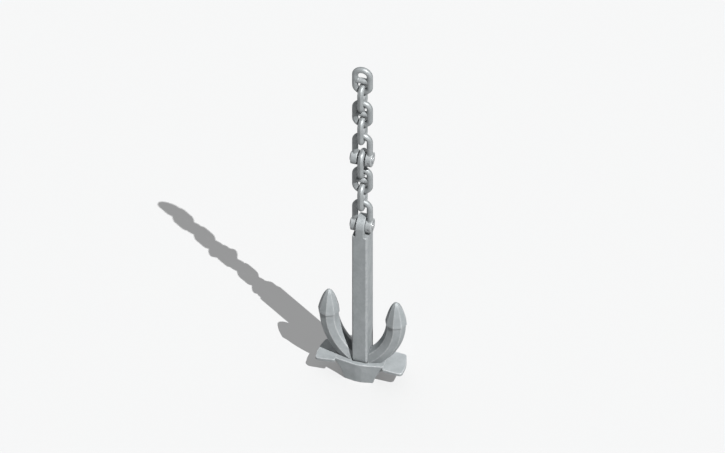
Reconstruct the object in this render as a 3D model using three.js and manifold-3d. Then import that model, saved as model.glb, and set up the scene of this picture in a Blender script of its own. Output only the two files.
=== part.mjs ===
// A stockless anchor that hangs from a short length of stud-link chain.
// Millimetres, +Z up. The origin is where a hook bears inside the top link.
// The crown's length and both arms lie along X, and the head tilts about X.
import * as THREE from "three";
import { mergeVertices } from "three/addons/utils/BufferGeometryUtils.js";
import Module from "manifold-3d";

const wasm = await Module();
wasm.setup();

// Chain: the bar of a link, and the length and width of the link over its outside.
const bar = 25;
const linkLength = 137;
const linkWidth = 84;
const bendRadius = (linkWidth - bar) / 2;
const linkInside = linkLength - 2 * bar;
const studMiddleRadius = 12;
const studEndRadius = 10.9;
const studFlat = 8;

// Play that keeps neighbours apart.
const seatGap = 0.4;
const fitGap = 0.3;

// Shackles: a bow of the same bar, closed by a bolt that a tapered spile pin locks in one eye.
const boltRadius = 14;
const shackleInside = 92;
const eyeRadius = 30;
const eyeThickness = 25;
const boltHeadRadius = 19;
const boltHeadThickness = 5;
const boltOverhang = 4;
const spileWideRadius = 4;
const spileNarrowRadius = 3;
const spileReach = 28;

// Shank: a rectangular bar with its long edges chamfered and a thinner tongue at the top.
const shankWidth = 62;
const shankDepth = 88;
const shankChamfer = 5.5;
const tongueThickness = 32.5;
const shoulderDrop = 36;
const shoulderFall = 4;
const boltToPivot = 676;

// Head: crown block, two palms, two curved arms and their points, cast as one.
const pivotHeight = 104;
const crownHeight = 89;
const crownBaseHalf = 58;
const crownTopHalf = 97;
const crownEndDepth = 48;
const prowDepth = 63;
const prowHalf = 13;
const palmThickness = 13;
const palmFront = 61;
const palmBack = 54;
const palmReach = 178;
const palmBackReach = 164;
const palmBow = 5;
const palmDroop = 0.1;
const armRadius = 40;
const armBend = 264;
const armTipX = 135;
const armTipHeight = 293;
const pointRadius = 43.5;
const pointBand = 5;
const pointLength = 106;

// Crown pin, and the two cross pins that lock it in the head.
const crownPinRadius = 14.5;
const crownPinHalf = 98;
const crossPinRadius = 5;
const crossPinX = 72;
const crossPinLow = 52;
const crossPinHigh = 124;
const tiltSlack = 0.9;

// Facets.
const barSides = 12;
const ringSteps = 26;
const roundSides = 28;
const studSides = 12;
const armSteps = 14;
const pointSteps = 7;
const curveSteps = 8;

const galvanised = () =>
  new THREE.MeshStandardMaterial({ color: 0x9aa2a6, roughness: 0.55, metalness: 0.6 });
const plated = () =>
  new THREE.MeshStandardMaterial({ color: 0xa9afb2, roughness: 0.4, metalness: 0.8 });
const casting = () =>
  new THREE.MeshStandardMaterial({ color: 0x8d9599, roughness: 0.65, metalness: 0.4 });

// ---- joining and cutting ----

function solidOf(geometry) {
  const bare = geometry.clone();
  bare.deleteAttribute("normal");
  bare.deleteAttribute("uv");
  const merged = mergeVertices(bare, 1e-3);
  return new wasm.Manifold(
    new wasm.Mesh({
      numProp: 3,
      vertProperties: new Float32Array(merged.attributes.position.array),
      triVerts: new Uint32Array(merged.index.array),
    }),
  );
}

function geometryOf(solid) {
  const made = solid.getMesh();
  const geometry = new THREE.BufferGeometry();
  geometry.setAttribute("position", new THREE.BufferAttribute(made.vertProperties, 3));
  geometry.setIndex(new THREE.BufferAttribute(made.triVerts, 1));
  const faceted = geometry.toNonIndexed();
  faceted.computeVertexNormals();
  return faceted;
}

const join = (...shapes) =>
  geometryOf(shapes.map(solidOf).reduce((whole, next) => whole.add(next)));
const cut = (body, ...tools) =>
  geometryOf(tools.map(solidOf).reduce((left, tool) => left.subtract(tool), solidOf(body)));
const common = (...shapes) =>
  geometryOf(shapes.map(solidOf).reduce((shared, next) => shared.intersect(next)));

// ---- shared forms ----

// A prism between two heights whose outline is drawn in plan.
function planPrism(outline, low, high) {
  const prism = new THREE.ExtrudeGeometry(outline, {
    depth: high - low,
    bevelEnabled: false,
    curveSegments: curveSteps,
  });
  return prism.translate(0, 0, low);
}

// A prism whose outline is drawn from the front: x across, y up. It is centred front to back.
function frontPrism(outline, depth) {
  return planPrism(outline, -depth / 2, depth / 2).rotateX(Math.PI / 2);
}

// A prism whose outline is drawn from the side: x front to back, y up. It is centred across.
function sidePrism(outline, width) {
  return frontPrism(outline, width).rotateZ(Math.PI / 2);
}

function block(width, depth, height, x = 0, y = 0, z = 0) {
  return new THREE.BoxGeometry(width, depth, height).translate(x, y, z);
}

// A round bar along X between two places.
function crossRod(radius, from, to, sides = roundSides) {
  const rod = new THREE.CylinderGeometry(radius, radius, to - from, sides);
  return rod.rotateZ(Math.PI / 2).translate((from + to) / 2, 0, 0);
}

function uprightRod(radius, low, high, sides = roundSides) {
  const rod = new THREE.CylinderGeometry(radius, radius, high - low, sides);
  return rod.rotateX(Math.PI / 2).translate(0, 0, (low + high) / 2);
}

// A turned piece whose axis is X. Each profile point is [radius, place along X].
function turned(profile, sides = roundSides) {
  const points = profile.map(([radius, along]) => new THREE.Vector2(radius, along));
  return new THREE.LatheGeometry(points, sides).rotateZ(-Math.PI / 2);
}

function outlineOf(points) {
  return new THREE.Shape(points.map(([x, y]) => new THREE.Vector2(x, y)));
}

// An upright oval ring: a torus cut at its middle and pulled apart, so that its legs are straight.
// A row of vertices lies at its top and its bottom, and none lies on its middle plane.
function ovalRing(tubeRadius, straight) {
  const ring = new THREE.TorusGeometry(bendRadius, tubeRadius, barSides, ringSteps);
  ring.rotateZ(Math.PI / ringSteps);
  const places = ring.attributes.position;
  for (let i = 0; i < places.count; i++) {
    const y = places.getY(i);
    places.setY(i, y + (Math.sign(y) * straight) / 2);
  }
  return ring.rotateX(Math.PI / 2);
}

// ---- chain ----

const linkStraight = linkLength - linkWidth;

function linkRing() {
  return ovalRing(bar / 2, linkStraight);
}

// A barrel-shaped bar across the link, its ends hollowed to sit on the legs.
function linkStud() {
  const reach = bendRadius;
  const barrel = turned(
    [
      [0, -reach],
      [studEndRadius, -reach],
      [studMiddleRadius, -studFlat],
      [studMiddleRadius, studFlat],
      [studEndRadius, reach],
      [0, reach],
    ],
    studSides,
  );
  return cut(barrel, ovalRing(bar / 2 + fitGap, linkStraight));
}

// ---- shackle: its origin is the middle of the bolt ----

const bowLeg = shackleInside + boltRadius - (bendRadius - bar / 2);
const eyeInner = bendRadius - eyeThickness / 2;
const eyeOuter = bendRadius + eyeThickness / 2;

// A tapered pin that runs front to back through the right eye and the bolt.
function spile(gap) {
  const pin = new THREE.CylinderGeometry(
    spileNarrowRadius + gap,
    spileWideRadius + gap,
    2 * spileReach,
    studSides,
  );
  return pin.translate(bendRadius, 0, 0);
}

// The hole for it, which opens at the front and at the back of the eye.
function spileBore() {
  const taper = spile(fitGap);
  const front = new THREE.CylinderGeometry(spileWideRadius, spileWideRadius, bar, studSides);
  const back = front.clone();
  front.translate(bendRadius, -spileReach - bar / 2 + seatGap, 0);
  back.translate(bendRadius, spileReach + bar / 2 - seatGap, 0);
  return join(taper, front, back);
}

function shackleBow() {
  const reach = 4 * linkLength;
  const ring = ovalRing(bar / 2, 2 * bowLeg);
  const half = cut(ring, block(reach, reach, reach, 0, 0, -reach / 2));
  const eyes = [crossRod(eyeRadius, -eyeOuter, -eyeInner), crossRod(eyeRadius, eyeInner, eyeOuter)];
  const bore = crossRod(boltRadius + fitGap, -linkWidth, linkWidth);
  return cut(join(half, ...eyes), bore, spileBore());
}

function shackleBolt() {
  const headInner = -eyeOuter - fitGap;
  const headOuter = headInner - boltHeadThickness;
  const end = eyeOuter + boltOverhang;
  const edge = 1.5;
  const body = turned([
    [0, headOuter],
    [boltHeadRadius - edge, headOuter],
    [boltHeadRadius, headOuter + edge],
    [boltHeadRadius, headInner],
    [boltRadius, headInner],
    [boltRadius, end - edge],
    [boltRadius - edge, end],
    [0, end],
  ]);
  return cut(body, spile(fitGap));
}

// ---- shank: its origin is the middle of its shackle bolt hole ----

function shankFront() {
  const half = shankWidth / 2;
  const tongue = tongueThickness / 2;
  const top = shankDepth / 2 + 1;
  const bottom = -boltToPivot - shankDepth / 2 - 1;
  return outlineOf([
    [-half, bottom],
    [half, bottom],
    [half, -shoulderDrop],
    [tongue, -shoulderDrop + shoulderFall],
    [tongue, top],
    [-tongue, top],
    [-tongue, -shoulderDrop + shoulderFall],
    [-half, -shoulderDrop],
  ]);
}

// Straight sides with a full round at the top and another at the foot.
function shankSide() {
  const half = shankDepth / 2;
  const side = new THREE.Shape();
  side.absarc(0, 0, half, 0, Math.PI, false);
  side.absarc(0, -boltToPivot, half, Math.PI, 2 * Math.PI, false);
  side.closePath();
  return side;
}

function shankSection() {
  const x = shankWidth / 2;
  const y = shankDepth / 2;
  return outlineOf([
    [-x + shankChamfer, -y],
    [x - shankChamfer, -y],
    [x, -y + shankChamfer],
    [x, y - shankChamfer],
    [x - shankChamfer, y],
    [-x + shankChamfer, y],
    [-x, y - shankChamfer],
    [-x, -y + shankChamfer],
  ]);
}

function shank() {
  const shaped = common(
    frontPrism(shankFront(), 2 * shankDepth),
    sidePrism(shankSide(), 2 * shankWidth),
    planPrism(shankSection(), -boltToPivot - shankDepth, shankDepth),
  );
  const boltHole = crossRod(boltRadius + seatGap, -shankWidth, shankWidth);
  const pinHole = crossRod(crownPinRadius + seatGap, -shankWidth, shankWidth);
  return cut(shaped, boltHole, pinHole.translate(0, 0, -boltToPivot));
}

// ---- head: its origin is the middle of the crown's flat base ----

// The block narrows downwards with hollow sides.
function crownFront() {
  const front = new THREE.Shape();
  const waistX = crownBaseHalf + 10;
  const waistHeight = 45;
  const flareHeight = crownHeight - palmThickness;
  front.moveTo(-crownBaseHalf, 0);
  front.lineTo(crownBaseHalf, 0);
  front.quadraticCurveTo(waistX, waistHeight, crownTopHalf, flareHeight);
  front.lineTo(crownTopHalf, crownHeight);
  front.lineTo(-crownTopHalf, crownHeight);
  front.lineTo(-crownTopHalf, flareHeight);
  front.quadraticCurveTo(-waistX, waistHeight, -crownBaseHalf, 0);
  return front;
}

// A shallow prow, front and back.
function crownPlan() {
  return outlineOf([
    [-crownTopHalf, -crownEndDepth],
    [-prowHalf, -prowDepth],
    [prowHalf, -prowDepth],
    [crownTopHalf, -crownEndDepth],
    [crownTopHalf, crownEndDepth],
    [prowHalf, prowDepth],
    [-prowHalf, prowDepth],
    [-crownTopHalf, crownEndDepth],
  ]);
}

function crownBlock() {
  return common(frontPrism(crownFront(), 3 * prowDepth), planPrism(crownPlan(), 0, crownHeight));
}

// A flat plate that droops outwards, its end bowed and slanted and its corners rounded.
function palm(side) {
  const front = 22;
  const back = 12;
  const overlap = 1;
  const reach = palmReach - crownTopHalf;
  const backReach = palmBackReach - crownTopHalf;
  const slant = (reach - backReach) / (palmFront + palmBack);
  const outline = new THREE.Shape();
  outline.moveTo(-side * overlap, -palmFront);
  outline.lineTo(side * (reach - front), -palmFront);
  outline.quadraticCurveTo(
    side * reach,
    -palmFront,
    side * (reach - front * slant),
    front - palmFront,
  );
  outline.quadraticCurveTo(
    side * ((reach + backReach) / 2 + 2 * palmBow),
    (palmBack - palmFront) / 2,
    side * (backReach + back * slant),
    palmBack - back,
  );
  outline.quadraticCurveTo(side * backReach, palmBack, side * (backReach - back), palmBack);
  outline.lineTo(-side * overlap, palmBack);
  const plate = planPrism(outline, -palmThickness, 0).rotateY(side * palmDroop);
  return plate.translate(side * crownTopHalf, 0, crownHeight);
}

// The arm's centreline: an arc that starts inside the crown and ends upright at the point.
class ArmLine extends THREE.Curve {
  getPoint(t, target = new THREE.Vector3()) {
    const centreX = armTipX - armBend;
    const start = -Math.acos(-centreX / armBend) - 0.03;
    const end = 0.02;
    const angle = start + (end - start) * t;
    return target.set(
      centreX + armBend * Math.cos(angle),
      0,
      armTipHeight + armBend * Math.sin(angle),
    );
  }
}

function octagon(radius) {
  const corners = [];
  for (let i = 0; i < 8; i++) {
    const angle = (i * Math.PI) / 4;
    corners.push([radius * Math.cos(angle), radius * Math.sin(angle)]);
  }
  return outlineOf(corners);
}

function arm() {
  return new THREE.ExtrudeGeometry(octagon(armRadius), {
    steps: armSteps,
    extrudePath: new ArmLine(),
    bevelEnabled: false,
  });
}

// An eight-sided point whose radius falls as the square root of what is left of its height.
function armPoint() {
  const profile = [new THREE.Vector2(0, 0), new THREE.Vector2(pointRadius, 0)];
  for (let i = 0; i <= pointSteps; i++) {
    const left = (1 - i / pointSteps) ** 1.5;
    const height = pointBand + (pointLength - pointBand) * (1 - left);
    profile.push(new THREE.Vector2(pointRadius * Math.sqrt(left), height));
  }
  const point = new THREE.LatheGeometry(profile, 8);
  return point.rotateX(Math.PI / 2).translate(armTipX, 0, armTipHeight);
}

// Turns a shape half round about Z, for the other side.
const opposite = (shape) => shape.clone().rotateZ(Math.PI);

// Room for the shank: a round seat for its foot and a slot that lets the head tilt.
function footPocket() {
  const width = shankWidth + 2 * tiltSlack;
  const radius = shankDepth / 2 + tiltSlack;
  const seat = crossRod(radius, -width / 2, width / 2).translate(0, 0, pivotHeight);
  const slotLow = crownHeight - 4;
  const slotHigh = armTipHeight;
  const slot = block(width, 2 * radius, slotHigh - slotLow, 0, 0, (slotLow + slotHigh) / 2);
  return join(seat, slot);
}

// The bore for the crown pin opens through the left arm and ends blind in the right one.
function head() {
  const side = [arm(), armPoint()];
  const whole = join(crownBlock(), palm(1), palm(-1), ...side, ...side.map(opposite));
  const pinBore = crossRod(crownPinRadius + fitGap, -armTipX, crownPinHalf + fitGap);
  const lockBore = uprightRod(crossPinRadius + fitGap, 0, crossPinHigh + fitGap, studSides);
  return cut(
    whole,
    footPocket(),
    pinBore.translate(0, 0, pivotHeight),
    lockBore.clone().translate(crossPinX, 0, 0),
    lockBore.clone().translate(-crossPinX, 0, 0),
  );
}

function crownPin() {
  const edge = 2;
  const pin = turned([
    [0, -crownPinHalf],
    [crownPinRadius - edge, -crownPinHalf],
    [crownPinRadius, -crownPinHalf + edge],
    [crownPinRadius, crownPinHalf - edge],
    [crownPinRadius - edge, crownPinHalf],
    [0, crownPinHalf],
  ]);
  const hole = uprightRod(crossPinRadius + fitGap, -bar, bar, studSides);
  const holes = [-1, 1].map((side) => hole.clone().translate(side * crossPinX, 0, 0));
  return cut(pin, ...holes).translate(0, 0, pivotHeight);
}

function crossPin() {
  return uprightRod(crossPinRadius, crossPinLow, crossPinHigh, studSides);
}

// ---- assembly, from the top down ----

const anchor = new THREE.Group();

// A group whose own +X is turned to lie along Y when it is crosswise.
function hang(height, crosswise = false) {
  const group = new THREE.Group();
  group.position.z = height;
  group.rotation.z = crosswise ? Math.PI / 2 : 0;
  anchor.add(group);
  return group;
}

function place(group, name, geometry, material) {
  const mesh = new THREE.Mesh(geometry, material);
  mesh.name = name;
  group.add(mesh);
}

// Adds a link that bears at a height, and returns the height of the seat it offers below.
function addLink(number, bearing, crosswise) {
  const middle = bearing - linkInside / 2;
  const group = hang(middle, crosswise);
  place(group, `link_${number}`, linkRing(), galvanised());
  place(group, `stud_${number}`, linkStud(), galvanised());
  return middle - linkInside / 2;
}

// Adds a shackle that bears at a height, and returns the height of its bolt.
function addShackle(name, bearing) {
  const boltHeight = bearing - shackleInside - boltRadius;
  const group = hang(boltHeight);
  place(group, `${name}_bow`, shackleBow(), galvanised());
  place(group, `${name}_bolt`, shackleBolt(), plated());
  place(group, `${name}_spile_pin`, spile(0), plated());
  return boltHeight;
}

let seat = addLink(1, 0, false);
seat = addLink(2, seat + seatGap, true);
seat = addLink(3, seat + seatGap, false);
seat = addLink(4, seat + seatGap, true);
seat = addShackle("joining_shackle", seat + seatGap) + boltRadius;
seat = addLink(5, seat + seatGap, true);
seat = addLink(6, seat + seatGap, false);
seat = addLink(7, seat + seatGap, true);
const shankBolt = addShackle("anchor_shackle", seat + seatGap);

place(hang(shankBolt), "shank", shank(), casting());

const headGroup = hang(shankBolt - boltToPivot - pivotHeight);
place(headGroup, "head_casting", head(), casting());
place(headGroup, "crown_pin", crownPin(), plated());
place(headGroup, "cross_pin_right", crossPin().translate(crossPinX, 0, 0), plated());
place(headGroup, "cross_pin_left", crossPin().translate(-crossPinX, 0, 0), plated());

export default anchor;
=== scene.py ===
import math

import bmesh
import bpy
import numpy as np
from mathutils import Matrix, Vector


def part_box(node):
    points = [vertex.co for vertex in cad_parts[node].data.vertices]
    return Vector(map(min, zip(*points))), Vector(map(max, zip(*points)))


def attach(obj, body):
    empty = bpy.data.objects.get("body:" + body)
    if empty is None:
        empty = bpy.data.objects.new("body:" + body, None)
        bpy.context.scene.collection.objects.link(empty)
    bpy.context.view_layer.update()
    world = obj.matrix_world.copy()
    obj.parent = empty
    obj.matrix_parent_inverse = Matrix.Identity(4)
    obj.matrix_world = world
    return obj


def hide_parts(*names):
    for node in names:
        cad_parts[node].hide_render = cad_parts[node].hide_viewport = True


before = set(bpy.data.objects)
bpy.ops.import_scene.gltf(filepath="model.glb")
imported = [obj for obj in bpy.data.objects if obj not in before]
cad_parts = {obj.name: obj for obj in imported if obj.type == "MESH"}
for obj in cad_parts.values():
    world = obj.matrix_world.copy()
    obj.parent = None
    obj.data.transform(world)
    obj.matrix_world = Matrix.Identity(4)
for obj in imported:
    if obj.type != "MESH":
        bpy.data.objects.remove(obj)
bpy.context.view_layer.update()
print("frame loaded:", len(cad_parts), "nodes")


# shared numpy tools

sharpAngle = 38  # degrees: edges steeper than this stay sharp


def ease(low, high, x):
    t = np.clip((x - low) / (high - low), 0.0, 1.0)
    return t * t * (3 - 2 * t)


# A slow unevenness from 0 to 1: two sine waves of the place in space, multiplied.
def unevenness(places, size):
    q = np.asarray(places) / size
    first = np.sin(1.7 * q[..., 0] + 1.3 * np.sin(1.1 * q[..., 2]))
    second = np.sin(1.9 * q[..., 1] + 1.3 * q[..., 2] + 0.7)
    return 0.5 + 0.5 * first * second


# A grid of points as one closed sheet. Rows and columns may close on themselves, and an
# open first or last row is closed with a fan to its middle. The faces point outwards,
# because the sheet is turned round when the volume it encloses comes out negative.
def sheet(points, wear=0.0, scaleAndShade=0.0, closeRows=False, closeCols=True, caps=False):
    rows, cols = points.shape[:2]
    lastRow = rows if closeRows else rows - 1
    lastCol = cols if closeCols else cols - 1
    i, j = np.meshgrid(np.arange(lastRow), np.arange(lastCol), indexing="ij")
    up, on = (i + 1) % rows, (j + 1) % cols
    corners = [i * cols + j, i * cols + on, up * cols + on, up * cols + j]
    quads = np.stack(corners, -1).reshape(-1, 4)
    places = points.reshape(-1, 3)
    marks = [np.broadcast_to(m, (rows, cols)).reshape(-1) for m in (wear, scaleAndShade)]
    tris = np.zeros((0, 3), int)
    if caps:
        middles = np.stack([points[0].mean(0), points[-1].mean(0)])
        ring = np.arange(cols)
        after = (ring + 1) % cols
        start = np.full(cols, len(places))
        first = np.stack([start, after, ring], -1)
        lastRing = (rows - 1) * cols
        last = np.stack([start + 1, lastRing + ring, lastRing + after], -1)
        tris = np.concatenate([first, last])
        places = np.concatenate([places, middles])
        ends = [[m[0], m[lastRing]] for m in marks]
        marks = [np.concatenate([m, e]) for m, e in zip(marks, ends)]
    split = np.concatenate([quads[:, [0, 1, 2]], quads[:, [0, 2, 3]], tris])
    a, b, c = (places[split[:, k]] for k in range(3))
    if np.einsum("ij,ij->", a, np.cross(b, c)) < 0:
        quads, tris = quads[:, ::-1], tris[:, ::-1]
    return {"places": places, "quads": quads, "tris": tris, "wear": marks[0], "scaleAndShade": marks[1]}


# Turns a profile about an axis: each profile point is (place along the axis, radius).
def turned(profile, around, axis="x", centre=(0, 0, 0), closeRows=False, **marks):
    along, radius = np.asarray(profile, float).T[:, :, None]
    angle = np.linspace(0, 2 * np.pi, around, endpoint=False)[None, :]
    along = along + 0 * angle
    first, second = radius * np.cos(angle), radius * np.sin(angle)
    order = {"x": (along, first, second), "y": (second, along, first), "z": (first, second, along)}
    points = np.stack(order[axis], -1) + np.asarray(centre)
    return sheet(points, closeRows=closeRows, caps=not closeRows, **marks)


# A quarter round from one direction to another about a corner, as offsets of given radius.
def quarter(radius, start, steps):
    angle = np.radians(start) + np.linspace(0, np.pi / 2, steps + 1)
    return radius * np.cos(angle), radius * np.sin(angle)


def makePiece(name, sheets, nodes, body, material):
    places, quads, tris, base = [], [], [], 0
    for s in sheets:
        places.append(s["places"])
        quads += (s["quads"] + base).tolist()
        tris += (s["tris"] + base).tolist()
        base += len(s["places"])
    mesh = bpy.data.meshes.new(name)
    mesh.from_pydata(np.concatenate(places).tolist(), [], quads + tris)
    for mark in ("wear", "scaleAndShade"):
        layer = mesh.attributes.new(mark, "FLOAT", "POINT")
        layer.data.foreach_set("value", np.concatenate([s[mark] for s in sheets]).astype(np.float32))
    mesh.shade_smooth()
    mesh.set_sharp_from_angle(angle=math.radians(sharpAngle))
    piece = bpy.data.objects.new(name, mesh)
    bpy.context.collection.objects.link(piece)
    mesh.materials.append(material)
    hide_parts(*nodes)
    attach(piece, body)
    return piece


# Cuts round bores through a finished piece, whose coinciding points are merged first. A bore
# is (axis, a point on it, radius, from, to), the last two being places along the axis.
def cutBores(piece, bores, around=72):
    work = bmesh.new()
    work.from_mesh(piece.data)
    bmesh.ops.remove_doubles(work, verts=work.verts, dist=1e-6)
    bmesh.ops.dissolve_degenerate(work, edges=work.edges, dist=1e-7)
    work.to_mesh(piece.data)
    work.free()
    for axis, place, radius, start, end in bores:
        along = "xyz".index(axis)
        centre = np.array(place, float)
        centre[along] = 0
        rod = turned([(start, radius), (end, radius)], around, axis, centre)
        tool = bpy.data.objects.new("boreTool", bpy.data.meshes.new("boreTool"))
        tool.data.from_pydata(rod["places"].tolist(), [], rod["quads"].tolist() + rod["tris"].tolist())
        bpy.context.collection.objects.link(tool)
        cutter = piece.modifiers.new("bore", "BOOLEAN")
        cutter.operation = "DIFFERENCE"
        cutter.solver = "EXACT"
        cutter.object = tool
        made = bpy.data.meshes.new_from_object(piece.evaluated_get(bpy.context.evaluated_depsgraph_get()))
        piece.modifiers.clear()
        old, piece.data = piece.data, made
        made.name = piece.name
        bpy.data.meshes.remove(old)
        bpy.data.meshes.remove(tool.data)
    piece.data.shade_smooth()
    piece.data.set_sharp_from_angle(angle=math.radians(sharpAngle))


def middle(node):
    low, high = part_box(node)
    return np.array([(l + h) / 2 for l, h in zip(low, high)])


# shader groups

def groupSocket(tree, name, kind, way, value=None):
    made = tree.interface.new_socket(name=name, in_out=way, socket_type=kind)
    if value is not None:
        made.default_value = value


def addNode(tree, kind, inputs=None, **settings):
    node = tree.nodes.new(kind)
    for key, value in settings.items():
        setattr(node, key, value)
    for key, value in (inputs or {}).items():
        if isinstance(value, bpy.types.NodeSocket):
            tree.links.new(value, node.inputs[key])
        else:
            node.inputs[key].default_value = value
    return node


def mathNode(tree, operation, first, second=0.0, clamp=False):
    made = addNode(tree, "ShaderNodeMath", {0: first, 1: second}, operation=operation)
    made.use_clamp = clamp
    return made.outputs[0]


# Clouded tone, and the height of a fine grain with small pits and a broader casting skin, all
# from Object coordinates.
def makeGrainGroup():
    tree = bpy.data.node_groups.new("metalGrain", "ShaderNodeTree")
    groupSocket(tree, "Cloud Scale", "NodeSocketFloat", "INPUT", 30.0)
    groupSocket(tree, "Grain Scale", "NodeSocketFloat", "INPUT", 600.0)
    groupSocket(tree, "Tone", "NodeSocketFloat", "OUTPUT")
    groupSocket(tree, "Grain", "NodeSocketFloat", "OUTPUT")
    groupSocket(tree, "Height", "NodeSocketFloat", "OUTPUT")
    into = addNode(tree, "NodeGroupInput")
    out = addNode(tree, "NodeGroupOutput")
    place = addNode(tree, "ShaderNodeTexCoord").outputs["Object"]
    cloud = addNode(tree, "ShaderNodeTexNoise", {
        "Vector": place, "Scale": into.outputs["Cloud Scale"], "Detail": 4.0, "Roughness": 0.62})
    grain = addNode(tree, "ShaderNodeTexNoise", {
        "Vector": place, "Scale": into.outputs["Grain Scale"], "Detail": 2.0, "Roughness": 0.5})
    pits = addNode(tree, "ShaderNodeTexVoronoi", {
        "Vector": place, "Scale": mathNode(tree, "MULTIPLY", into.outputs["Grain Scale"], 0.22)})
    spread = addNode(tree, "ShaderNodeMapRange", {
        "Value": cloud.outputs["Fac"], "From Min": 0.3, "From Max": 0.7})
    hollow = addNode(tree, "ShaderNodeMapRange", {
        "Value": pits.outputs["Distance"], "From Min": 0.0, "From Max": 0.16})
    skin = addNode(tree, "ShaderNodeTexNoise", {
        "Vector": place, "Scale": mathNode(tree, "MULTIPLY", into.outputs["Grain Scale"], 0.16),
        "Detail": 3.0, "Roughness": 0.55})
    height = mathNode(tree, "ADD", mathNode(tree, "MULTIPLY", grain.outputs["Fac"], 0.35),
                      mathNode(tree, "MULTIPLY", hollow.outputs["Result"], 0.25))
    height = mathNode(tree, "ADD", height, mathNode(tree, "MULTIPLY", skin.outputs["Fac"], 0.8))
    tree.links.new(spread.outputs["Result"], out.inputs["Tone"])
    tree.links.new(grain.outputs["Fac"], out.inputs["Grain"])
    tree.links.new(height, out.inputs["Height"])
    return tree


# Edges and seats rubbed bright: the piece's own wear mark, broken up by noise. Its second output is the
# dark mark: real forge scale, and painted shade in joints, corners and under lips.
def makeWearAndShadeGroup():
    tree = bpy.data.node_groups.new("rubbedEdgesAndShade", "ShaderNodeTree")
    groupSocket(tree, "Amount", "NodeSocketFloat", "INPUT", 0.6)
    groupSocket(tree, "Break Up Scale", "NodeSocketFloat", "INPUT", 140.0)
    groupSocket(tree, "Mask", "NodeSocketFloat", "OUTPUT")
    groupSocket(tree, "ScaleAndShade", "NodeSocketFloat", "OUTPUT")
    into = addNode(tree, "NodeGroupInput")
    out = addNode(tree, "NodeGroupOutput")
    place = addNode(tree, "ShaderNodeTexCoord").outputs["Object"]
    noise = addNode(tree, "ShaderNodeTexNoise", {
        "Vector": place, "Scale": into.outputs["Break Up Scale"], "Detail": 5.0, "Roughness": 0.65})
    uneven = addNode(tree, "ShaderNodeMapRange", {
        "Value": noise.outputs["Fac"], "From Min": 0.32, "From Max": 0.62})
    rubbed = addNode(tree, "ShaderNodeAttribute", attribute_name="wear").outputs["Fac"]
    scaleAndShadeMark = addNode(tree, "ShaderNodeAttribute", attribute_name="scaleAndShade").outputs["Fac"]
    mask = mathNode(tree, "MULTIPLY", rubbed, uneven.outputs["Result"])
    mask = mathNode(tree, "MULTIPLY", mask, into.outputs["Amount"], clamp=True)
    # the dark mark: real forge scale, and painted shade where parts meet and under lips
    dark = mathNode(tree, "MULTIPLY", scaleAndShadeMark,
                    mathNode(tree, "ADD", mathNode(tree, "MULTIPLY", noise.outputs["Fac"], 0.8), 0.4),
                    clamp=True)
    tree.links.new(mask, out.inputs["Mask"])
    tree.links.new(dark, out.inputs["ScaleAndShade"])
    return tree


grainGroup = makeGrainGroup()
wearAndShadeGroup = makeWearAndShadeGroup()
print("shader groups made")


# materials

def mixColour(tree, amount, first, second):
    made = addNode(tree, "ShaderNodeMix", data_type="RGBA")
    for socket, value in ((made.inputs[0], amount), (made.inputs[6], first), (made.inputs[7], second)):
        if isinstance(value, bpy.types.NodeSocket):
            tree.links.new(value, socket)
        else:
            socket.default_value = value
    return made.outputs[2]


# Weathered metal: two clouded tones, rubbed edges lighter and smoother, forge scale darker, and painted
# shade darkening joints, corners and the undersides of lips.
# Turned pieces also get fine rings about the X axis through their own middle.
def metal(name, look, ringCentre=None):
    material = bpy.data.materials.new(name)
    material.use_nodes = True
    tree = material.node_tree
    shader = tree.nodes["Principled BSDF"]
    shader.inputs["Metallic"].default_value = look["metallic"]
    grain = addNode(tree, "ShaderNodeGroup", node_tree=grainGroup)
    grain.inputs["Cloud Scale"].default_value = look["cloudScale"]
    grain.inputs["Grain Scale"].default_value = look["grainScale"]
    wear = addNode(tree, "ShaderNodeGroup", node_tree=wearAndShadeGroup)
    wear.inputs["Amount"].default_value = look["wear"]
    wear.inputs["Break Up Scale"].default_value = look["breakUpScale"]
    colour = mixColour(tree, grain.outputs["Tone"], (*look["dark"], 1), (*look["light"], 1))
    colour = mixColour(tree, wear.outputs["Mask"], colour, (*look["rubbed"], 1))
    # darkened towards the dark colour by forge scale and by painted shade in joints and corners
    colour = mixColour(tree, wear.outputs["ScaleAndShade"], colour, (*look["scaleAndShade"], 1))
    tree.links.new(colour, shader.inputs["Base Color"])
    low, high = look["roughness"]
    rough = addNode(tree, "ShaderNodeMapRange", {
        "Value": grain.outputs["Tone"], "To Min": high, "To Max": low}).outputs["Result"]
    smoother = mathNode(tree, "MULTIPLY", wear.outputs["Mask"], -look["polish"])
    tree.links.new(mathNode(tree, "ADD", rough, smoother), shader.inputs["Roughness"])
    height = grain.outputs["Height"]
    if ringCentre is not None:
        place = addNode(tree, "ShaderNodeTexCoord").outputs["Object"]
        shifted = addNode(tree, "ShaderNodeMapping", {
            "Vector": place, "Location": tuple(-v for v in ringCentre), "Scale": (1, 1, 1)})
        rings = addNode(tree, "ShaderNodeTexWave", {
            "Vector": shifted.outputs["Vector"], "Scale": look["ringScale"], "Distortion": 0.4},
            wave_type="RINGS", rings_direction="X")
        height = mathNode(tree, "ADD", height,
                          mathNode(tree, "MULTIPLY", rings.outputs["Fac"], look["ringDepth"]))
    bump = addNode(tree, "ShaderNodeBump", {
        "Height": height, "Strength": look["bump"], "Distance": look["bumpDistance"]})
    tree.links.new(bump.outputs["Normal"], shader.inputs["Normal"])
    return material


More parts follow.
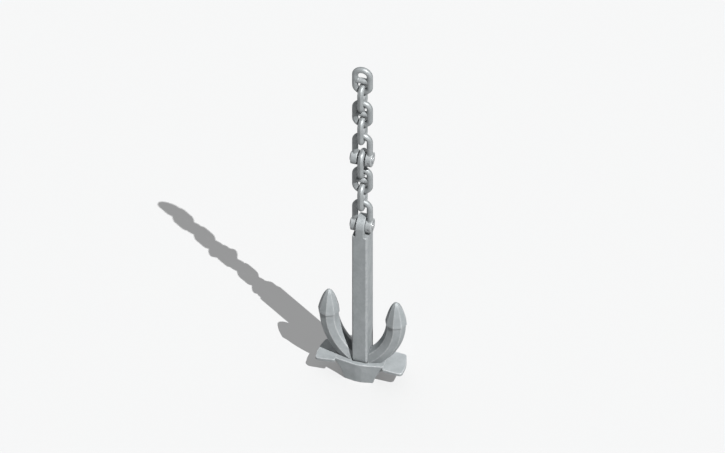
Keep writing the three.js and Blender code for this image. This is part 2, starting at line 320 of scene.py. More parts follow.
chainLook = {
    "dark": (0.185, 0.198, 0.202), "light": (0.245, 0.258, 0.262), "rubbed": (0.40, 0.41, 0.415),
    "scaleAndShade": (0.09, 0.095, 0.095), "metallic": 0.3, "roughness": (0.42, 0.56), "polish": 0.14,
    "cloudScale": 55.0, "grainScale": 900.0, "wear": 0.75, "breakUpScale": 260.0,
    "bump": 0.55, "bumpDistance": 0.0008,
}
castLook = dict(chainLook, dark=(0.180, 0.194, 0.199), light=(0.225, 0.240, 0.246),
                rubbed=(0.36, 0.37, 0.375), metallic=0.2, roughness=(0.5, 0.64), cloudScale=22.0,
                grainScale=560.0, wear=0.6, breakUpScale=120.0, bump=0.8, bumpDistance=0.0016)
pinLook = dict(chainLook, light=(0.30, 0.31, 0.315), dark=(0.22, 0.23, 0.235), metallic=0.55,
               roughness=(0.3, 0.42), ringScale=700.0, ringDepth=0.5, bump=0.3)
leadLook = dict(pinLook, light=(0.17, 0.175, 0.185), dark=(0.12, 0.125, 0.135), metallic=0.3,
                roughness=(0.55, 0.7))

chainMetal = metal("galvanisedChain", chainLook)
shackleMetal = metal("galvanisedShackle", dict(chainLook, cloudScale=48.0))
castMetal = metal("castSteel", castLook)
leadMetal = metal("leadSealedPin", leadLook)
print("materials made")


# links and studs

linkShape = {
    "bar": 0.0125, "bend": 0.0295, "halfStraight": 0.0265, "bendRows": 36, "legRows": 7,
    "around": 30, "unevenDepth": 0.00014, "unevenSize": 0.011, "seatHalf": 0.013,
    "ridge": 0.0003, "ridgeHalf": 0.0013, "scale": 0.6, "scaleHalf": 0.0032,
    "rubFrom": 0.1, "rubTo": -0.8,
}


# Angles round a forged bar, closer together at its outer side, where the line left by the
# two halves of the die runs: a low ridge, with a band of dark scale left beside it.
def forgedSection(shape):
    fine = np.radians([-16, -11, -7.5, -5, -2.5, 0, 2.5, 5, 7.5, 11, 16])
    coarse = np.linspace(fine[-1], 2 * np.pi + fine[0], shape["around"])[1:-1]
    angle = np.concatenate([fine, coarse])
    away = np.abs(np.where(angle > np.pi, angle - 2 * np.pi, angle)) * shape["bar"]
    ridge = shape["ridge"] * ease(shape["ridgeHalf"], 0.2 * shape["ridgeHalf"], away)
    scale = shape["scale"] * ease(shape["scaleHalf"], 0.5 * shape["scaleHalf"], away)
    return angle, ridge - shape["ridge"], scale


# The centreline of a link: two half circles joined by straight legs. Gives its points and
# outward directions, each as (across, up).
def linkLine(shape):
    turn = np.linspace(0, np.pi, shape["bendRows"] + 1)
    leg = np.linspace(1, -1, shape["legRows"] + 2)[1:-1] * shape["halfStraight"]
    top = np.stack([np.cos(turn), np.sin(turn)], 1)
    side = np.tile([-1.0, 0.0], (len(leg), 1))
    outward = np.concatenate([top, side, -top, -side])
    shift = np.concatenate([0 * turn + shape["halfStraight"], leg, 0 * turn - shape["halfStraight"], -leg])
    return outward * shape["bend"] + np.stack([0 * shift, shift], 1), outward


# A round bar carried along a closed line in an upright plane. crossways puts the plane in YZ.
def linkSheet(shape, centre, crossways):
    line, outward = linkLine(shape)
    angle, lift, scale = forgedSection(shape)
    bar = shape["bar"] + lift
    out, side = np.cos(angle)[None, :], np.sin(angle)[None, :]
    across = line[:, :1] + bar * out * outward[:, :1]
    up = line[:, 1:] + bar * out * outward[:, 1:]
    deep = bar * side + 0 * up
    points = np.stack([-deep, across, up] if crossways else [across, deep, up], -1) + centre
    shrink = shape["unevenDepth"] * unevenness(points, shape["unevenSize"])
    inward = np.stack([out * outward[:, :1], side + 0 * up, out * outward[:, 1:]], -1)
    if crossways:
        inward = np.stack([-inward[..., 1], inward[..., 0], inward[..., 2]], -1)
    bearing = ease(shape["seatHalf"], 0.3 * shape["seatHalf"], np.abs(line[:, :1]))
    rubbed = ease(shape["rubFrom"], shape["rubTo"], out) * bearing
    return sheet(points - inward * shrink[..., None], wear=rubbed, scaleAndShade=scale[None, :],
                 closeRows=True)


studShape = {
    "middle": 0.012, "end": 0.0109, "flat": 0.008, "reach": 0.0295, "sunk": 0.0025, "rows": 80,
    "around": 96, "round": 0.0022, "leg": 0.0125, "beadWidth": 0.0016, "beadHeight": 0.0013,
    "beadShift": 0.0006, "beadRipples": 22, "shadeWidth": 0.003, "scaleAndShade": 0.55,
    "rimWear": 0.5, "rimWidth": 0.002,
}


# A barrel about its own axis: a flat middle that tapers both ways, with the corner between
# them rounded by a hyperbola. Its rows crowd towards the saddle line where it meets the round
# legs, and the left end has a rippled weld bead there.
def studSheet(shape, centre, crossways):
    angle = np.linspace(0, 2 * np.pi, shape["around"], endpoint=False)[None, :]
    deep = np.abs(shape["end"] * np.cos(angle))
    joint = shape["reach"] - np.sqrt(shape["leg"] ** 2 - deep**2)
    t = np.linspace(-1, 1, shape["rows"])[:, None]
    along = (joint + shape["sunk"]) * np.sin(np.pi / 2 * t)
    past = np.abs(along) - shape["flat"]
    ramp = (past + np.sqrt(past**2 + shape["round"] ** 2)) / 2
    slope = (shape["middle"] - shape["end"]) / (shape["reach"] - shape["flat"])
    bead = np.exp(-(((along + joint - shape["beadShift"]) / shape["beadWidth"]) ** 2))
    ripple = 0.8 + 0.2 * np.sin(shape["beadRipples"] * angle)
    radius = shape["middle"] - slope * ramp + shape["beadHeight"] * bead * ripple
    first, second = radius * np.cos(angle), radius * np.sin(angle)
    points = np.stack([-first, along, second] if crossways else [along, first, second], -1) + centre
    # painted shade: the barrel is darkened towards the saddle line where it meets the legs
    scaleAndShade = shape["scaleAndShade"] * ease(joint - shape["shadeWidth"], joint, np.abs(along))
    wear = shape["rimWear"] * np.exp(-((past / shape["rimWidth"]) ** 2))
    return sheet(points, wear=wear, scaleAndShade=scaleAndShade, caps=True)


for number in range(1, 8):
    link, stud = f"link_{number}", f"stud_{number}"
    low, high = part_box(link)
    crossways = high[1] - low[1] > high[0] - low[0]
    centre = middle(link)
    makePiece(f"forged_{link}", [linkSheet(linkShape, centre, crossways)], [link], link,
              chainMetal)
    makePiece(f"pressed_{stud}", [studSheet(studShape, centre, crossways)], [stud], link,
              chainMetal)
print("chain made")


# shackles

bowShape = {
    "bar": 0.0125, "bend": 0.0295, "bendHeight": 0.089, "eye": 0.030, "fillet": 0.009,
    "foot": 0.018, "bendRows": 40, "around": 30, "unevenDepth": 0.00014, "unevenSize": 0.013,
    "ridge": 0.0003, "ridgeHalf": 0.0013, "scale": 0.6, "scaleHalf": 0.0032,
    "rubFrom": 0.1, "rubTo": -0.8, "seatFrom": 0.45, "seatTo": 0.15, "filletShade": 0.4,
    "shadeAbove": 0.004,
}
eyeShape = {
    "inner": 0.017, "outer": 0.042, "radius": 0.030, "bore": 0.0143, "rim": 0.0016,
    "boreRim": 0.0007, "around": 180, "faceRows": 26, "dimple": 0.0012, "dimpleFrom": 0.0042,
    "dimpleTo": 0.0056,
}
boltShape = {
    "radius": 0.014, "headRadius": 0.019, "headFrom": -0.0423, "headTo": -0.0473, "end": 0.046,
    "edge": 0.0014, "around": 72, "dimple": 0.0022,
}
spileShape = {"wide": 0.004, "narrow": 0.003, "reach": 0.0292, "dome": 0.0005, "around": 32}


# The bow's bar carried down one leg from the bend's middle plane. Near the eye the bar
# spreads front to back along a fillet arc that touches both the leg and the eye's barrel.
def bowSheet(shape, bolt):
    bar, fillet = shape["bar"], shape["fillet"]
    filletTop = math.sqrt((shape["eye"] + fillet) ** 2 - (bar + fillet) ** 2)
    filletEnd = filletTop * shape["eye"] / (shape["eye"] + fillet)
    turn = np.linspace(0, np.pi, shape["bendRows"] + 1)[1:-1]
    legUp = np.concatenate([
        np.linspace(shape["foot"], filletEnd, 3)[:-1],
        filletTop - (filletTop - filletEnd) * np.linspace(1, 0, 9) ** 1.5,
        np.linspace(filletTop, shape["bendHeight"], 7)[1:]])
    across = np.concatenate([0 * legUp + 1, np.cos(turn), 0 * legUp - 1])
    rise = np.concatenate([0 * legUp, np.sin(turn), 0 * legUp])
    height = np.concatenate([legUp, 0 * turn + shape["bendHeight"], legUp[::-1]])
    drop = np.clip(filletTop - height, 0, filletTop - filletEnd)
    spread = 1 + (fillet - np.sqrt(fillet**2 - drop**2)) / bar
    angle, lift, scale = (v[None, :] for v in forgedSection(shape))
    thick = bar + lift
    out = shape["bend"] + thick * np.cos(angle)
    points = np.stack([
        across[:, None] * out,
        spread[:, None] * thick * np.sin(angle),
        height[:, None] + rise[:, None] * out], -1) + bolt
    bearing = ease(shape["seatFrom"], shape["seatTo"], np.abs(across)) * (rise > 0)
    seat = ease(shape["rubFrom"], shape["rubTo"], np.cos(angle)) * bearing[:, None]
    # painted shade on the fillets where the bow runs into the eyes, kept together with the real forge scale
    low = ease(filletTop + shape["shadeAbove"], filletEnd, height)[:, None]
    scaleAndShade = np.maximum(low * shape["filletShade"], scale)
    shrink = shape["unevenDepth"] * unevenness(points, shape["unevenSize"])[..., None]
    towards = np.stack([
        across[:, None] * np.cos(angle), np.sin(angle) + 0 * across[:, None],
        rise[:, None] * np.cos(angle)], -1)
    return sheet(points - towards * shrink, wear=seat, scaleAndShade=scaleAndShade, caps=True)


# A ring about X with rounded rims. Its profile runs round the wall: bore, inner face,
# barrel, outer face. Round dimples are pressed where the spile pin's ends show.
def eyeSheet(shape, side, bolt, pinned):
    a, b = shape["inner"], shape["outer"]
    rim, bore = shape["rim"], shape["boreRim"]
    smallX, smallR = quarter(bore, 180, 3)
    bigX, bigR = quarter(rim, 90, 5)
    barrel = np.linspace(a + rim, b - rim, shape["faceRows"])[1:-1]
    wallOut, wallIn = shape["radius"], shape["bore"]
    parts = [
        (a + bore + smallX[::-1], wallIn + bore + smallR[::-1]),
        (np.array([a, a]), np.array([wallIn + 2 * bore, wallOut - rim * 1.4])),
        (a + rim + bigX[::-1], wallOut - rim + bigR[::-1]),
        (barrel, 0 * barrel + wallOut),
        (b - rim - bigX, wallOut - rim + bigR),
        (np.array([b, b]), np.array([wallOut - rim * 1.4, wallIn + 2 * bore])),
        (b - bore - smallX, wallIn + bore + smallR),
    ]
    along = np.concatenate([p[0] for p in parts])[:, None]
    radius = np.concatenate([p[1] for p in parts])[:, None]
    angle = np.linspace(0, 2 * np.pi, shape["around"], endpoint=False)[None, :]
    onBarrel = radius > wallOut - 1e-6
    away = np.sqrt((along - (a + b) / 2) ** 2 + (wallOut * np.sin(angle)) ** 2)
    press = ease(shape["dimpleTo"], shape["dimpleFrom"], away) * onBarrel * pinned
    radius = radius - shape["dimple"] * press
    points = np.stack([side * along + 0 * angle, radius * np.cos(angle), radius * np.sin(angle)], -1)
    rimWear = np.where((radius > wallOut - rim) & (np.abs(along - (a + b) / 2) > (b - a) / 2 - rim), 0.9, 0)
    lip = press * (1 - press) * 3
    # painted shade: the pressed dimples are darkened
    return sheet(points + bolt, wear=np.clip(rimWear + lip, 0, 1), scaleAndShade=0.7 * press, closeRows=True)


def boltSheet(shape, bolt):
    edge, dimple = shape["edge"], shape["dimple"]
    out, inn, end = shape["headTo"], shape["headFrom"], shape["end"]
    head, rod = shape["headRadius"], shape["radius"]
    profile = [
        (out + dimple * 0.7, 0.0002), (out + 0.0002, dimple), (out, dimple + 0.0003),
        (out, head - edge * 1.5), (out + edge * 0.08, head - edge), (out + edge * 0.6, head - edge * 0.3),
        (out + edge, head - edge * 0.05), (out + edge * 1.3, head), (inn - 0.0006, head),
        (inn - 0.0001, head - 0.0001), (inn, head - 0.0006), (inn, rod + 0.0004), (inn + 0.0004, rod),
        (end - edge * 1.4, rod), (end - edge, rod - edge * 0.06), (end - edge * 0.1, rod - edge * 0.92),
        (end, rod - edge * 1.2), (end, dimple + 0.0003), (end - 0.0002, dimple),
        (end - dimple * 0.7, 0.0002)]
    rims = np.zeros(len(profile))
    rims[[4, 5, 6, 14, 15]] = 1
    return turned(profile, shape["around"], "x", bolt, wear=rims[:, None])


# A tapered pin along Y through the right eye, its ends slightly domed.
def spileSheet(shape, bolt, across):
    steps = np.linspace(0, 1, 6)
    reach, dome = shape["reach"], shape["dome"]
    front = [(-reach - dome * (1 - s**2), max(s, 0.05) * shape["wide"]) for s in steps]
    back = [(reach + dome * (1 - s**2), max(s, 0.05) * shape["narrow"]) for s in steps[::-1]]
    return turned(front + back, shape["around"], "y", bolt + np.array([across, 0, 0]))


for shackle in ("joining_shackle", "anchor_shackle"):
    bolt = middle(f"{shackle}_bolt") * np.array([0, 1, 1])
    eyes = [eyeSheet(eyeShape, side, bolt, side > 0) for side in (-1, 1)]
    makePiece(f"forged_{shackle}", [bowSheet(bowShape, bolt), *eyes], [f"{shackle}_bow"], shackle,
              shackleMetal)
    pinMetal = metal(f"turned_{shackle}_bolt", pinLook, bolt)
    makePiece(f"turned_{shackle}_bolt", [boltSheet(boltShape, bolt)], [f"{shackle}_bolt"], shackle,
              pinMetal)
    eyeMiddle = (eyeShape["inner"] + eyeShape["outer"]) / 2
    makePiece(f"sealed_{shackle}_pin", [spileSheet(spileShape, bolt, eyeMiddle)],
              [f"{shackle}_spile_pin"], shackle, leadMetal)
print("shackles made")


# shank

shankShape = {
    "halfWidth": 0.031, "halfDepth": 0.044, "chamfer": 0.0055, "tongueHalf": 0.01625,
    "tongueRound": 0.0018, "shoulderTop": -0.032, "shoulderFoot": -0.036, "length": 0.676,
    "rowStep": 0.02, "topSteps": 56, "footSteps": 28, "unevenDepth": 0.0002, "unevenSize": 0.035,
    "boltBore": 0.0144, "pinBore": 0.0149, "tongueRow": -0.018, "shoulderShade": 0.5,
    "shadeWidth": 0.003,
}


# The shank's outline seen from the side, as a closed line of (front to back, up) with its
# outward direction and the place its side faces close to: straight front and back, and a
# half circle at either end.
def shankOutline(shape):
    half, length = shape["halfDepth"], shape["length"]
    top, foot = shape["shoulderTop"], shape["shoulderFoot"]
    fall = top - foot
    shoulder = np.array([0.5, 0.2, 0, -0.1, -0.5, -0.9, -1, -1.2, -1.5]) * fall + top
    low = np.arange(-length + shape["rowStep"], foot - shape["rowStep"] / 2, shape["rowStep"])
    upward = np.concatenate([low, shoulder[::-1], [shape["tongueRow"]]])
    over = np.linspace(np.pi, 0, shape["topSteps"] + 1)
    under = np.linspace(0, -np.pi, shape["footSteps"] + 1)
    front = np.stack([0 * upward - half, upward], 1)
    cap = np.stack([half * np.cos(over), half * np.sin(over)], 1)
    bowl = np.stack([half * np.cos(under), half * np.sin(under) - length], 1)
    back = front[::-1] * [-1, 1]
    line = np.concatenate([front, cap, back, bowl])
    outward = np.concatenate([
        np.tile([-1.0, 0], (len(front), 1)), cap / half,
        np.tile([1.0, 0], (len(back), 1)), (bowl + [0, length]) / half])
    core = np.stack([0 * line[:, 0], np.clip(line[:, 1], -length, 0)], 1)
    return line, outward, core


# Half of the profile carried round that outline, from the middle of the outer face over the
# edge to the middle of the side face: (out to the side, in from the outline). One row is the
# chamfered bar and one the rounded tongue, so that the shoulders are a blend of the two.
def shankProfiles(shape):
    w, c, r = shape["halfWidth"], shape["chamfer"], shape["tongueRound"]
    t, depth = shape["tongueHalf"], shape["halfDepth"]
    bar = [(0, 0), (w * 0.4, 0), (w - c - 0.0016, 0), (w - c - 0.0005, 0.00004), (w - c + 0.0005, 0.0006),
           (w - c / 2, c / 2), (w - 0.0006, c - 0.0005), (w - 0.00004, c + 0.0005), (w, c + 0.0016),
           (w, depth * 0.5), (w, depth * 0.8), (w, depth)]
    turn = np.radians([0, 18, 36, 54, 72, 90])
    rounded = [(t - r + r * math.sin(a), r - r * math.cos(a)) for a in turn]
    tongue = [(0, 0), (t * 0.5, 0), (t - r * 1.5, 0), *rounded[:1], *rounded[1:5], (t, r),
              (t, depth * 0.5), (t, depth * 0.8), (t, depth)]
    edge = np.array([0, 0, 0, 0.9, 1, 0.25, 1, 0.9, 0, 0, 0, 0])
    return np.array(bar), np.array(tongue), edge


def shankSheet(shape, bolt):
    line, outward, core = shankOutline(shape)
    bar, tongue, edge = shankProfiles(shape)
    fall = shape["shoulderTop"] - shape["shoulderFoot"]
    blend = np.clip((shape["shoulderTop"] - line[:, 1]) / fall, 0, 1)
    half = tongue[None] * (1 - blend[:, None, None]) + bar[None] * blend[:, None, None]
    mirror = half[:, :0:-1] * [-1, 1]
    profile = np.concatenate([mirror, half], 1)
    wear = np.concatenate([edge[:0:-1], edge])
    inset = profile[..., 1]
    places = line[:, None] - outward[:, None] * inset[..., None]
    ends = np.abs(inset - shape["halfDepth"]) < 1e-9
    places = np.where(ends[..., None], core[:, None], places)
    points = np.stack([profile[..., 0], places[..., 0], places[..., 1]], -1)
    sunk = shape["unevenDepth"] * unevenness(points, shape["unevenSize"])
    points[..., 0] -= np.sign(points[..., 0]) * sunk * (inset > 0.001)
    # painted shade in the corners of the shoulders beside the tongue
    shoulder = np.exp(-(((line[:, 1] - shape["shoulderTop"]) / shape["shadeWidth"]) ** 2))[:, None]
    beside = ease(shape["tongueHalf"] - 0.002, shape["tongueHalf"], np.abs(profile[..., 0]))
    scaleAndShade = shape["shoulderShade"] * shoulder * beside
    return sheet(points + bolt, wear=wear[None, :], scaleAndShade=scaleAndShade, closeRows=True, closeCols=False)


anchorBolt = middle("anchor_shackle_bolt") * np.array([0, 1, 1])
shank = makePiece("cast_shank", [shankSheet(shankShape, anchorBolt)], ["shank"], "shank",
                  castMetal)
through = 2 * shankShape["halfWidth"]
cutBores(shank, [("x", anchorBolt, shankShape["boltBore"], -through, through),
                 ("x", middle("crown_pin"), shankShape["pinBore"], -through, through)])
print("shank made")


# head

crownShape = {
    "height": 0.089, "baseHalf": 0.058, "topHalf": 0.097, "waist": (0.068, 0.045), "band": 0.013,
    "endDepth": 0.048, "prowDepth": 0.063, "prowHalf": 0.013, "wallRows": 16, "edge": 0.002,
    "cornerRound": 0.0035, "slotHalf": 0.0319, "slotDepth": 0.0449, "slotFloor": 0.085,
    "pivotHeight": 0.104, "faceCols": 8,
}
palmShape = {
    "root": 0.0945, "hinge": 0.097, "front": 0.061, "back": 0.054, "reach": 0.178,
    "backReach": 0.164, "bow": 0.005, "frontCorner": 0.022, "backCorner": 0.012,
    "thickness": 0.013, "droop": 0.1, "edge": 0.0022, "top": 0.089, "cornerSteps": 10,
}
armShape = {
    "radius": 0.040, "bend": 0.264, "tip": 0.135, "tipHeight": 0.293, "ridge": 0.0045,
    "cutAt": 0.0319, "end": 0.02, "rows": 64, "unevenDepth": 0.0003, "unevenSize": 0.03,
    "rootShade": 0.4, "rootFrom": 0.104, "rootTo": 0.089, "neckShade": 0.7, "neckFrom": -0.006,
    "neckTo": -0.001,
}
pointShape = {
    "radius": 0.0435, "band": 0.005, "length": 0.106, "rows": 44, "ridge": 0.0035, "lip": 0.0012,
}


# An eight-sided outline of corner radius 1 whose ridges are rounded by arcs, with a mark
# that is 1 on the ridges. round is the arc's radius over the corner radius.
def octagonLine(rounding, arcSteps=5, flatCols=3):
    inner = math.cos(math.pi / 8)
    back = rounding / inner
    bend = np.linspace(-np.pi / 8, np.pi / 8, arcSteps)
    arc = (1 - back) * np.array([[1.0, 0.0]]) + rounding * np.stack([np.cos(bend), np.sin(bend)], 1)
    turn = math.pi / 4
    spin = np.array([[math.cos(turn), math.sin(turn)], [-math.sin(turn), math.cos(turn)]])
    nextStart = arc[:1] @ spin
    gap = np.linspace(0, 1, flatCols + 2)[1:-1, None]
    gap = np.where(gap < 0.4, gap * 0.25, np.where(gap > 0.6, 1 - (1 - gap) * 0.25, gap))
    side = np.concatenate([arc, arc[-1:] * (1 - gap) + nextStart * gap])
    mark = np.concatenate([np.ones(arcSteps), np.zeros(flatCols)])
    sides, spinNow = [], np.eye(2)
    for _ in range(8):
        sides.append(side @ spinNow)
        spinNow = spinNow @ spin
    return np.concatenate(sides), np.tile(mark, 8)


# The crown: closed outlines stacked from the middle of the base, up the flared wall, over
# the top to the slot, and down the slot to the round seat of the shank's foot.
def crownSheet(shape, base):
    t = np.linspace(0, 1, shape["wallRows"])[:, None]
    foot, waist = shape["baseHalf"], shape["waist"]
    wallTop = shape["height"] - shape["band"]
    wall = np.hstack([
        foot * (1 - t) ** 2 + 2 * waist[0] * t * (1 - t) + shape["topHalf"] * t**2,
        2 * waist[1] * t * (1 - t) + wallTop * t**2])
    edge = shape["edge"]
    height, top = shape["height"], shape["topHalf"]
    slope = (shape["prowDepth"] - shape["endDepth"]) / (top - shape["prowHalf"])

    # One closed outline: half length, inset of the whole outline, height. A short one repeats
    # the point before its corner, so that every outline has as many points.
    def outline(half, inset, z):
        corner = shape["cornerRound"]
        endY = shape["prowDepth"] - (half - shape["prowHalf"]) * slope
        run = np.linspace(0, 1, shape["faceCols"])
        n = shape["prowHalf"]
        deep = shape["prowDepth"]
        front = [(n * v, -deep) for v in (-0.5, 0, 0.5, 0.94)]
        rest = [(n + (half - n) * v, -deep + (deep - endY) * v) for v in np.r_[0.02, 0.08, run[1:-1], 0.97]]
        rest = [p for p in rest if p[0] < half - corner * 1.01]
        angle = np.radians(np.linspace(-80, 0, 6))
        cx, cy = half - corner, -endY + corner * 0.82
        bend = [(cx + corner * math.cos(a), cy + corner * math.sin(a)) for a in angle]
        side = [(half, y) for y in np.linspace(cy, 0, 5)[1:]]
        quarterLine = rest + bend + side
        while len(quarterLine) < shape["faceCols"] + 12:
            quarterLine.insert(len(rest), quarterLine[len(rest) - 1])
        line = np.array(quarterLine)
        mirrorBack = line[::-1][1:] * [1, -1]
        right = np.concatenate([line, mirrorBack])
        left = right[::-1] * [-1, 1]
        nose = np.array(front[1:])
        backNose = nose[::-1] * [1, -1]
        loop = np.concatenate([nose, right, backNose, left, np.array(front[:1])])
        middleLoop = loop - np.sign(loop) * np.minimum(np.abs(loop), inset)
        return np.column_stack([middleLoop, np.full(len(loop), z)])

    # the slot's rectangle, with the same number of points, reached along straight lines
    def slotLoop(sample, halfX, halfY, z, mixIn=1.0):
        flat = sample[:, :2]
        endFace = np.abs(flat[:, 0]) / shape["topHalf"] > np.abs(flat[:, 1]) / shape["endDepth"] * 0.985
        scaleX = np.where(endFace, halfX / np.maximum(np.abs(flat[:, 0]), 1e-9), halfX / shape["topHalf"])
        x = flat[:, 0] * scaleX
        y = np.where(endFace, flat[:, 1] * halfY / shape["endDepth"], np.sign(flat[:, 1]) * halfY)
        y = np.clip(y, -halfY, halfY)
        target = np.stack([x, y], 1)
        return np.column_stack([flat * (1 - mixIn) + target * mixIn, np.full(len(flat), z)])

    rows, wears = [], []

    def add(row, wear=0.0):
        rows.append(row)
        wears.append(wear)

    add(outline(foot, 0.05, 0))
    add(outline(foot, edge * 1.8, 0))
    for a in np.radians([0, 30, 60, 90]):
        add(outline(foot, edge * (1 - math.sin(a)), edge * (1 - math.cos(a))), 1)
    for half, z in wall[1:]:
        add(outline(half, 0, z))
    add(outline(top, 0, wallTop + 0.001))
    add(outline(top, 0, height - edge * 1.7))
    for a in np.radians([0, 22, 45, 67, 90]):
        add(outline(top, edge * (1 - math.cos(a)), height - edge * (1 - math.sin(a))), 1)
    rim = outline(top, edge * 1.7, height)
    add(rim)
    halfX, halfY = shape["slotHalf"], shape["slotDepth"]
    add(slotLoop(rim, halfX, halfY, height, 0.93))
    add(slotLoop(rim, halfX + 0.0007, halfY + 0.0007, height), 0.5)
    add(slotLoop(rim, halfX, halfY, height - 0.0007), 0.5)
    add(slotLoop(rim, halfX, halfY, shape["slotFloor"]))
    pivot, seat = shape["pivotHeight"], halfY
    start = math.asin((pivot - shape["slotFloor"]) / seat)
    for a in np.linspace(start, math.pi / 2 - 0.02, 12):
        add(slotLoop(rim, halfX, seat * math.cos(a), pivot - seat * math.sin(a)))
    points = np.array(rows)
    return sheet(points + base, wear=np.array(wears)[:, None], caps=True)


# A drooping plate: its outline is set in by a rounded edge, below and above, and its two
# faces close in shrinking outlines to the middle.
def palmSheet(shape, side, base):
    bend = np.linspace(0, 1, shape["cornerSteps"])[:, None]
    root, front, back = shape["root"], shape["front"], shape["back"]
    reach, backReach = shape["reach"], shape["backReach"]
    slant = (reach - backReach) / (front + back)

    def curve(a, b, c):
        a, b, c = (np.array(p)[None] for p in (a, b, c))
        return a * (1 - bend) ** 2 + 2 * b * bend * (1 - bend) + c * bend**2

    f, k = shape["frontCorner"], shape["backCorner"]
    start, finish = (reach - f * slant, f - front), (backReach + k * slant, back - k)
    outline = np.concatenate([
        np.stack([np.linspace(root + 0.004, reach - f, 8), np.full(8, -front)], 1)[:-1],
        curve((reach - f, -front), (reach, -front), start)[:-1],
        curve(start, ((reach + backReach) / 2 + 2 * shape["bow"], (back - front) / 2), finish)[:-1],
        curve(finish, (backReach, back), (backReach - k, back))[:-1],
        np.stack([np.linspace(backReach - k, root + 0.004, 8), np.full(8, back)], 1),
        np.stack([np.full(12, root), np.linspace(back - 0.004, -front + 0.004, 12)], 1)])
    step = np.roll(outline, -1, 0) - np.roll(outline, 1, 0)
    inward = np.stack([-step[:, 1], step[:, 0]], 1) / np.linalg.norm(step, axis=1)[:, None]
    centre = outline.mean(0)
    e, thick = shape["edge"], shape["thickness"]
    turn = np.radians([0, 22, 45, 68, 90])
    rows = [(s, e * 1.8, 0.0, 0) for s in (0.15, 0.4, 0.7)] + [(1, e * 1.8, 0.0, 0)]
    rows += [(1, e * (1 - math.sin(a)), e * (1 - math.cos(a)), 1) for a in turn]
    rows += [(1, 0, e * 1.7, 0), (1, 0, thick - e * 1.7, 0)]
    rows += [(1, e * (1 - math.cos(a)), thick - e * (1 - math.sin(a)), 1) for a in turn]
    rows += [(1, e * 1.8, thick, 0)] + [(s, e * 1.8, thick, 0) for s in (0.7, 0.4, 0.15)]
    scale, inset, rise, wear = np.array(rows, float).T[:, :, None]
    flat = outline[None] + inward[None] * inset[..., None]
    flat = centre + (flat - centre) * scale[..., None]
    drop = shape["droop"] * np.abs(flat[..., 0] - shape["hinge"])
    up = shape["top"] - thick + rise - drop
    points = np.stack([side * flat[..., 0], flat[..., 1], up], -1)
    return sheet(points + base, wear=wear, caps=True)


# An eight-sided bar carried along an arc. Each of its lines starts where it meets the flat
# side of the shank's slot, so that the arm is cut cleanly there, and ends in the point.
def armSheet(shape, side, base):
    line, mark = octagonLine(shape["ridge"] / shape["radius"])
    out, deep = shape["radius"] * line.T
    centre = shape["tip"] - shape["bend"]
    far = shape["bend"] + out
    start = -np.arccos((shape["cutAt"] - centre) / far)
    t = np.linspace(0, 1, shape["rows"])[:, None]
    angle = start[None] * (1 - t) + shape["end"] * t
    points = np.stack([
        side * (centre + far * np.cos(angle)), deep[None] + 0 * angle,
        shape["tipHeight"] + far * np.sin(angle)], -1)
    sunk = shape["unevenDepth"] * unevenness(points, shape["unevenSize"])[..., None]
    towards = np.stack([side * out * np.cos(angle), deep + 0 * angle, out * np.sin(angle)], -1)
    points[1:] -= (towards * sunk / shape["radius"])[1:]
    height = points[..., 2]
    # painted shade: darker at the root where the arm meets the crown, and just below the point's collar
    root = shape["rootShade"] * ease(shape["rootFrom"], shape["rootTo"], height)
    neck = ease(shape["neckFrom"], shape["neckTo"], height - shape["tipHeight"])
    scaleAndShade = root + shape["neckShade"] * neck
    return sheet(points + base, wear=mark[None, :], scaleAndShade=scaleAndShade, caps=True)


# An eight-sided point whose radius falls as the square root of what is left of its height.
def pointSheet(shape, arm, side, base):
    rise = np.linspace(0, 1, shape["rows"])
    left = (1 - rise) ** 1.6
    left[-1] = 0.0004
    lip, radius, band = shape["lip"], shape["radius"], shape["band"]
    heights = np.concatenate([
        [0.0004, 0, 0, lip * 0.3, lip, band * 0.7], band + (shape["length"] - band) * (1 - left)])
    radii = np.concatenate([
        [arm["radius"] * 0.9, arm["radius"] * 0.96, radius - lip, radius - lip * 0.3, radius, radius],
        radius * np.sqrt(left)])
    ridges = np.concatenate([np.full(6, 1.0), 1 - 0.35 * rise])
    line, mark = octagonLine(shape["ridge"] / shape["radius"])
    flat = radii[:, None, None] * line[None]
    points = np.stack([
        side * (arm["tip"] + flat[..., 0]), flat[..., 1],
        arm["tipHeight"] + heights[:, None] + 0 * flat[..., 0]], -1)
    wear = ridges[:, None] * mark[None]
    wear[3:5] = 1
    # painted shade on the lowest rows, under the collar's lip where the point meets the arm
    scaleAndShade = np.zeros(wear.shape)
    scaleAndShade[:3] = 0.5
    return sheet(points + base, wear=wear, scaleAndShade=scaleAndShade, caps=True)


headBase = np.array([0, 0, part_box("head_casting")[0][2]])
headSheets = [crownSheet(crownShape, headBase)]
for side in (-1, 1):
    headSheets += [
        palmSheet(palmShape, side, headBase),
        armSheet(armShape, side, headBase),
        pointSheet(pointShape, armShape, side, headBase)]
makePiece("cast_head", headSheets, ["head_casting"], "head", castMetal)
print("head made")


# pins in the head

pinShape = {"edge": 0.0018, "around": 56}


# A plain pin with chamfered ends, fitted to the box of its CAD node.
def plainPin(shape, node, axis):
    low, high = (np.array(c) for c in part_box(node))
    along = "xyz".index(axis)
    half = (high - low) / 2
    reach, radius = half[along], half[(along + 1) % 3]
    e = shape["edge"]
    profile = [(-reach, 0.0005), (-reach, radius - e * 1.3), (-reach + e * 0.1, radius - e),
               (-reach + e, radius - e * 0.08), (-reach + e * 1.3, radius)]
    profile += [(-x, r) for x, r in profile[::-1]]
    rims = np.zeros(len(profile))
    rims[[2, 3, 6, 7]] = 1
    return turned(profile, shape["around"], axis, (low + high) / 2, wear=rims[:, None])


crownPinMetal = metal("turned_crown_pin", pinLook, middle("crown_pin"))
makePiece("turned_crown_pin", [plainPin(pinShape, "crown_pin", "x")], ["crown_pin"], "head",
          crownPinMetal)
for pin in ("cross_pin_right", "cross_pin_left"):
    makePiece(f"turned_{pin}", [plainPin(pinShape, pin, "z")], [pin], "head",
              crownPinMetal)
print("pins made")


# floor, light and camera

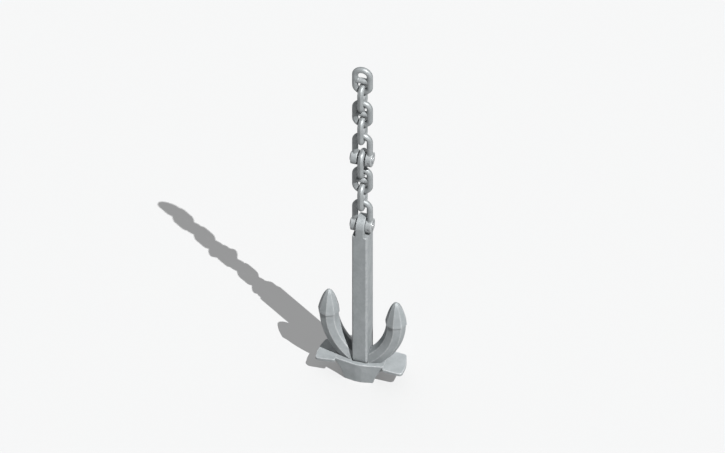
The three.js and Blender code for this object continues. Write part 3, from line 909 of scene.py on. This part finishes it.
stageLook = {
    "floorColour": (0.288, 0.289, 0.289), "floorHalf": 60.0, "floorGlow": 0.195,
    "floorRoughness": 0.9,
    "sunStrength": 8.4, "sunAzimuth": 55.3, "sunElevation": 52.9, "sunAngle": 0.25,
    "skyColour": (0.97, 0.985, 1.0), "skyStrength": 0.2, "fillAzimuth": 205, "fillElevation": 18,
    "fillStrength": 0.7, "backdrop": 0.94,
}
cameraLook = {
    "azimuth": 16.3, "elevation": 43.3, "width": 2.7985, "distance": 12.0, "aimHeight": 0.767,
}


def makeFloor(look, height):
    half = look["floorHalf"]
    mesh = bpy.data.meshes.new("floor")
    mesh.from_pydata([(-half, -half, height), (half, -half, height), (half, half, height),
                      (-half, half, height)], [], [(0, 1, 2, 3)])
    floor = bpy.data.objects.new("floor", mesh)
    bpy.context.collection.objects.link(floor)
    material = bpy.data.materials.new("paleFloor")
    material.use_nodes = True
    shader = material.node_tree.nodes["Principled BSDF"]
    shader.inputs["Base Color"].default_value = (*look["floorColour"], 1)
    shader.inputs["Roughness"].default_value = look["floorRoughness"]
    shader.inputs["Specular IOR Level"].default_value = 0.0
    shader.inputs["Emission Color"].default_value = (1, 1, 1, 1)
    # the glow lifts the floor's own tone, but lights nothing
    seen = addNode(material.node_tree, "ShaderNodeLightPath").outputs["Is Camera Ray"]
    glow = mathNode(material.node_tree, "MULTIPLY", seen, look["floorGlow"])
    material.node_tree.links.new(glow, shader.inputs["Emission Strength"])
    mesh.materials.append(material)


# A direction from the object towards a place in the sky.
def skyward(azimuth, elevation):
    a, e = math.radians(azimuth), math.radians(elevation)
    return np.array([math.sin(a) * math.cos(e), -math.cos(a) * math.cos(e), math.sin(e)])


def aimAt(thing, towards):
    thing.rotation_mode = "QUATERNION"
    thing.rotation_quaternion = Vector(-towards).to_track_quat("-Z", "Y")


def makeLights(look):
    lamp = bpy.data.lights.new("softSun", "SUN")
    lamp.energy = look["sunStrength"]
    lamp.angle = math.radians(look["sunAngle"])
    sun = bpy.data.objects.new("softSun", lamp)
    bpy.context.collection.objects.link(sun)
    aimAt(sun, skyward(look["sunAzimuth"], look["sunElevation"]))
    world = bpy.data.worlds.new("studio")
    world.use_nodes = True
    tree = world.node_tree
    background = tree.nodes["Background"]
    background.inputs["Color"].default_value = (*look["skyColour"], 1)
    # an even sky with a broad soft panel behind the object, and a pale backdrop where it is seen
    towards = addNode(tree, "ShaderNodeTexCoord").outputs["Generated"]
    panel = addNode(tree, "ShaderNodeVectorMath", {
        0: towards, 1: tuple(skyward(look["fillAzimuth"], look["fillElevation"]))},
        operation="DOT_PRODUCT").outputs["Value"]
    panel = mathNode(tree, "MULTIPLY", mathNode(tree, "MAXIMUM", panel, 0.0), look["fillStrength"])
    light = mathNode(tree, "ADD", panel, look["skyStrength"])
    seen = addNode(tree, "ShaderNodeLightPath").outputs["Is Camera Ray"]
    strength = addNode(tree, "ShaderNodeMix", {"Factor": seen, 2: light, 3: look["backdrop"]})
    tree.links.new(strength.outputs[0], background.inputs["Strength"])
    bpy.context.scene.world = world


def makeCamera(look, base):
    camera = bpy.data.objects.new("camera", bpy.data.cameras.new("camera"))
    bpy.context.collection.objects.link(camera)
    camera.data.type = "ORTHO"
    camera.data.ortho_scale = look["width"]
    back = skyward(look["azimuth"], look["elevation"])
    camera.location = np.array([0, 0, base + look["aimHeight"]]) + back * look["distance"]
    aimAt(camera, back)
    bpy.context.scene.camera = camera


makeFloor(stageLook, headBase[2])
makeLights(stageLook)
makeCamera(cameraLook, headBase[2])
bpy.context.scene.view_settings.view_transform = "Standard"
print("floor, light and camera made")

bpy.context.view_layer.update()
